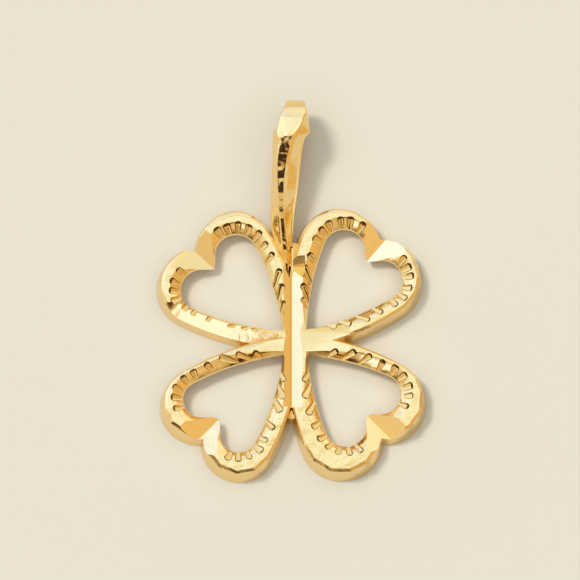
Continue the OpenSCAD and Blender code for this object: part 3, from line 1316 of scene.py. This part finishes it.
@dataclass(frozen=True)
class GoldFinish:
    """Yellow gold with the marks that casting, polishing or cutting leaves on it; where its colour is darker
    than the polished gold's, that colour is painted shade.
    """

    colour: Triple = (0.98, 0.765, 0.39)
    roughness: float = 0.12
    roughness_spread: float = 0.05
    grain: float = 0.35
    grain_depth: float = 0.004
    grain_detail: float = 3.0
    swell: float = 1.6
    swell_depth: float = 0.01
    swell_detail: float = 1.0

    def apply(self, finish: bpy.types.Material) -> None:
        """Builds the finish in a material.

        Args:
            finish: The material, whose nodes are replaced.
        """
        tree = NodeTree(finish)
        place = tree.add("TexCoord").outputs["Object"]
        fine_noise = {"Vector": place, "Scale": 1 / (self.grain * MM), "Detail": self.grain_detail}
        broad_noise = {"Vector": place, "Scale": 1 / (self.swell * MM), "Detail": self.swell_detail}
        fine = tree.add("TexNoise", fine_noise).outputs["Fac"]
        broad = tree.add("TexNoise", broad_noise).outputs["Fac"]
        low, high = self.roughness - self.roughness_spread, self.roughness + self.roughness_spread
        rough = tree.add("MapRange", {"Value": fine, "To Min": low, "To Max": high})
        swelling = tree.add("Bump", {"Height": broad, "Distance": self.swell_depth * MM})
        fine_bump = {
            "Height": fine,
            "Distance": self.grain_depth * MM,
            "Normal": swelling.outputs["Normal"],
        }
        metal = {
            "Base Color": (*self.colour, 1),
            "Metallic": 1.0,
            "Roughness": rough.outputs["Result"],
            "Normal": tree.add("Bump", fine_bump).outputs["Normal"],
        }
        tree.add("OutputMaterial", {"Surface": tree.add("BsdfPrincipled", metal).outputs["BSDF"]})


@dataclass(frozen=True)
class CardFinish:
    """Matt cream card."""

    colour: Triple = (0.79, 0.731, 0.594)

    def apply(self, finish: bpy.types.Material) -> None:
        """Builds the finish in a material.

        Args:
            finish: The material, whose nodes are replaced.
        """
        tree = NodeTree(finish)
        matt = {"Base Color": (*self.colour, 1), "Roughness": 1.0, "Specular IOR Level": 0.0}
        tree.add("OutputMaterial", {"Surface": tree.add("BsdfPrincipled", matt).outputs["BSDF"]})


# The pendant


@dataclass
class Pendant:
    """The clover and its bail as one piece of gold."""

    clover: Clover = field(default_factory=Clover)
    bail: Bail = field(default_factory=Bail)
    sharp_from: float = 20.0
    finishes: dict[Surface, GoldFinish] = field(
        default_factory=lambda: {
            # The cast surfaces' gold is deeper than the polished gold's: painted shade, so that walls, bevels
            # and bail read darker as in their shade.
            Surface.CAST: GoldFinish((0.94, 0.70, 0.33), grain_depth=0.018, swell=1.2, swell_depth=0.04),
            Surface.FACE: GoldFinish(roughness=0.1, grain_depth=0.042, swell=0.95, swell_depth=0.07),
            Surface.CUT: GoldFinish(roughness=0.06, roughness_spread=0.03, grain_depth=0.003),
            # Painted shade: a near-black finish in place of the shade at the crease end of each burr stroke.
            Surface.PAINTED_SHADE: GoldFinish((0.15, 0.072, 0.02), roughness=0.35),
            # Painted shade: the burr strokes' hollows in a darker amber than the polished gold.
            Surface.STROKE: GoldFinish((0.82, 0.57, 0.22), roughness=0.1, grain_depth=0.012),
        }
    )

    def build(self) -> bpy.types.Object:
        """Builds the piece and puts it in the part's frame."""
        solid = self.clover.build()
        solid.join(self.bail.build(), Joining.ADD)
        solid.move_points(solid.places() * MM)
        piece = solid.body
        piece.name = "clover_pendant_gold"
        piece.data.name = piece.name
        piece.data.shade_smooth()
        piece.data.set_sharp_from_angle(angle=math.radians(self.sharp_from))
        return piece

    def dress(self, piece: bpy.types.Object) -> None:
        """Gives each kind of surface its finish.

        Args:
            piece: The built piece.
        """
        for kind in Surface:
            self.finishes[kind].apply(piece.data.materials[kind])


# The studio


@dataclass(frozen=True)
class Glow:
    """Soft-edged patch of the studio's light tent, full within one angle and gone beyond the other."""

    towards: Triple
    inner: float
    outer: float
    colour: Triple

    def share(self, tree: NodeTree, way: bpy.types.NodeSocket) -> bpy.types.NodeSocket:
        """Share of the patch in each direction.

        Args:
            tree: The tent's nodes.
            way: The socket that gives the direction.

        Returns:
            The socket that gives the share.
        """
        axis = Vector(self.towards).normalized()
        along = tree.add("VectorMath", {0: way, 1: axis}, operation="DOT_PRODUCT").outputs["Value"]
        return tree.soft_step(along, math.cos(math.radians(self.outer)), math.cos(math.radians(self.inner)))


@dataclass
class Studio:
    """Pale card, light tent, soft lamp and camera."""

    elevation: float = 75.0
    distance: float = 0.6
    target: Triple = (-0.275, 2.96, 0.0)
    view_width: float = 29.0
    sensor: float = 36.0
    seen_within: Span = (0.01, 10)
    card_reach: float = 300.0
    card_light: float = 0.62
    overhead_angle: float = 50.0
    overhead_soft: float = 8.0
    lamp_light: float = 0.38
    lamp_from: Triple = (-0.4, 0.17, 0.9)
    lamp_size: float = 13.0
    tent: Triple = (0.8, 0.64, 0.39)
    glows: tuple[Glow, ...] = (
        Glow((1.0, -0.1, 0.1), 32, 54, (0.8, 0.57, 0.26)),
        Glow((-0.57, -0.35, 0.75), 12, 30, (0.86, 0.7, 0.46)),
        Glow((-0.35, 0.9, 0.25), 68, 84, (0.96, 1.03, 0.96)),
        Glow((-0.3, 0.8, 0.55), 20, 50, (0.94, 1.07, 1.35)),
        Glow((-0.7, 0.5, 0.5), 16, 40, (1.1, 1.3, 1.8)),
        Glow((0.47, 0.76, 0.45), 12, 36, (1.1, 1.13, 1.06)),
        Glow((-0.38, -0.64, 0.66), 10, 16, (1.22, 1.4, 1.88)),
        Glow((0.0, -0.3, 0.954), 9.5, 12.0, (0.035, 0.015, 0.004)),
    )
    dusk: Glow = Glow((-0.3, -0.95, 0), 46, 60, (0.075, 0.032, 0.008))
    dusk_heights: Span = (0.5, 0.22)
    mottle: float = 0.55
    mottle_scale: float = 4.5
    mottle_detail: float = 4.0

    def tent_light(
        self, tree: NodeTree, way: bpy.types.NodeSocket, up: bpy.types.NodeSocket
    ) -> bpy.types.Node:
        """What the gold reflects: the tent's warm cloth, its glows and the dusk low behind the camera.

        Args:
            tree: The world's nodes.
            way: The socket that gives the direction.
            up: The socket that gives its height.

        Returns:
            The node that shines.
        """
        low = tree.soft_step(up, *self.dusk_heights)
        dusk = tree.add("Math", {0: low, 1: self.dusk.share(tree, way)}, operation="MULTIPLY").outputs[0]
        colour = (*self.tent, 1)
        layers = [(glow, glow.share(tree, way)) for glow in self.glows] + [(self.dusk, dusk)]
        for glow, share in layers:
            inputs = {"Factor": share, MIX_BELOW: colour, MIX_ABOVE: (*glow.colour, 1)}
            colour = tree.add("Mix", inputs, data_type="RGBA").outputs[MIX_RESULT]
        cloud_inputs = {"Vector": way, "Scale": self.mottle_scale, "Detail": self.mottle_detail}
        cloud = tree.add("TexNoise", cloud_inputs).outputs["Fac"]
        level = tree.add("MapRange", {"Value": cloud, "To Min": 1 - self.mottle, "To Max": 1 + self.mottle})
        return tree.add("Background", {"Color": colour, "Strength": level.outputs["Result"]})

    def even_light(self, tree: NodeTree, up: bpy.types.NodeSocket) -> bpy.types.Node:
        """What lights matt surfaces: a plain white cone overhead.

        Args:
            tree: The world's nodes.
            up: The socket that gives the direction's height.

        Returns:
            The node that shines.
        """
        outer = math.cos(math.radians(self.overhead_angle + self.overhead_soft))
        inner = math.cos(math.radians(self.overhead_angle - self.overhead_soft))
        strength = self.card_light / math.sin(math.radians(self.overhead_angle)) ** 2
        cone = tree.soft_step(up, outer, inner, strength)
        return tree.add("Background", {"Color": (1, 1, 1, 1), "Strength": cone})

    def light_tent(self) -> None:
        """Builds the tent as the world's background, and even light for matt surfaces."""
        world = bpy.data.worlds.new("tent")
        bpy.context.scene.world = world
        tree = NodeTree(world)
        way = tree.add("TexCoord").outputs["Generated"]
        up = tree.add("SeparateXYZ", {0: way}).outputs["Z"]
        tent = self.tent_light(tree, way, up)
        even = self.even_light(tree, up)
        bounces = tree.add("LightPath").outputs["Diffuse Depth"]
        matt = tree.add("Math", {0: bounces, 1: 0.5}, operation="GREATER_THAN").outputs[0]
        chosen = tree.add("MixShader", {0: matt, 1: tent.outputs[0], 2: even.outputs[0]})
        tree.add("OutputWorld", {"Surface": chosen.outputs[0]})

    def lay_card(self) -> bpy.types.Object:
        """Lays the pale card under the pendant."""
        reach = self.card_reach * MM
        mesh = bpy.data.meshes.new("card")
        corners = [(-reach, -reach, 0), (reach, -reach, 0), (reach, reach, 0), (-reach, reach, 0)]
        mesh.from_pydata(corners, [], [(0, 1, 2, 3)])
        finish = bpy.data.materials.new("cream_card")
        CardFinish().apply(finish)
        mesh.materials.append(finish)
        card = bpy.data.objects.new("card", mesh)
        bpy.context.scene.collection.objects.link(card)
        return card

    def hang_lamp(self) -> None:
        """Hangs the soft lamp that casts the pendant's shadow."""
        way = Vector(self.lamp_from).normalized()
        lamp = bpy.data.lights.new("lamp", "SUN")
        lamp.energy = math.pi * self.lamp_light / way.z
        lamp.angle = math.radians(self.lamp_size)
        holder = bpy.data.objects.new("lamp", lamp)
        holder.rotation_euler = way.to_track_quat("Z", "Y").to_euler()
        holder.visible_glossy = False
        bpy.context.scene.collection.objects.link(holder)

    def place_camera(self) -> None:
        """Places the camera at the photograph's angle and scale."""
        lens = bpy.data.cameras.new("camera")
        lens.sensor_width = self.sensor
        lens.lens = self.sensor * self.distance / (self.view_width * MM)
        lens.clip_start, lens.clip_end = self.seen_within
        angle = math.radians(self.elevation)
        back = Vector((0, -math.cos(angle), math.sin(angle)))
        camera = bpy.data.objects.new("camera", lens)
        camera.location = Vector(self.target) * MM + back * self.distance
        camera.rotation_euler = back.to_track_quat("Z", "Y").to_euler()
        bpy.context.scene.collection.objects.link(camera)
        bpy.context.scene.camera = camera
        bpy.context.scene.view_settings.view_transform = "Standard"


def main() -> None:
    """Builds the pendant and the studio, and reports each piece."""
    logging.basicConfig(level=logging.INFO, format="%(name)s: %(message)s")
    log.info("%d node in the frame", len(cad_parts))
    pendant = Pendant()
    piece = pendant.build()
    pendant.dress(piece)
    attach(piece, "root")
    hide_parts(CAD_NODE)
    log.info("%s: %d faces", piece.name, len(piece.data.polygons))
    studio = Studio()
    studio.light_tent()
    studio.hang_lamp()
    studio.place_camera()
    card = studio.lay_card()
    log.info("%s: laid under the pendant", card.name)


if __name__ == "__main__":
    main()
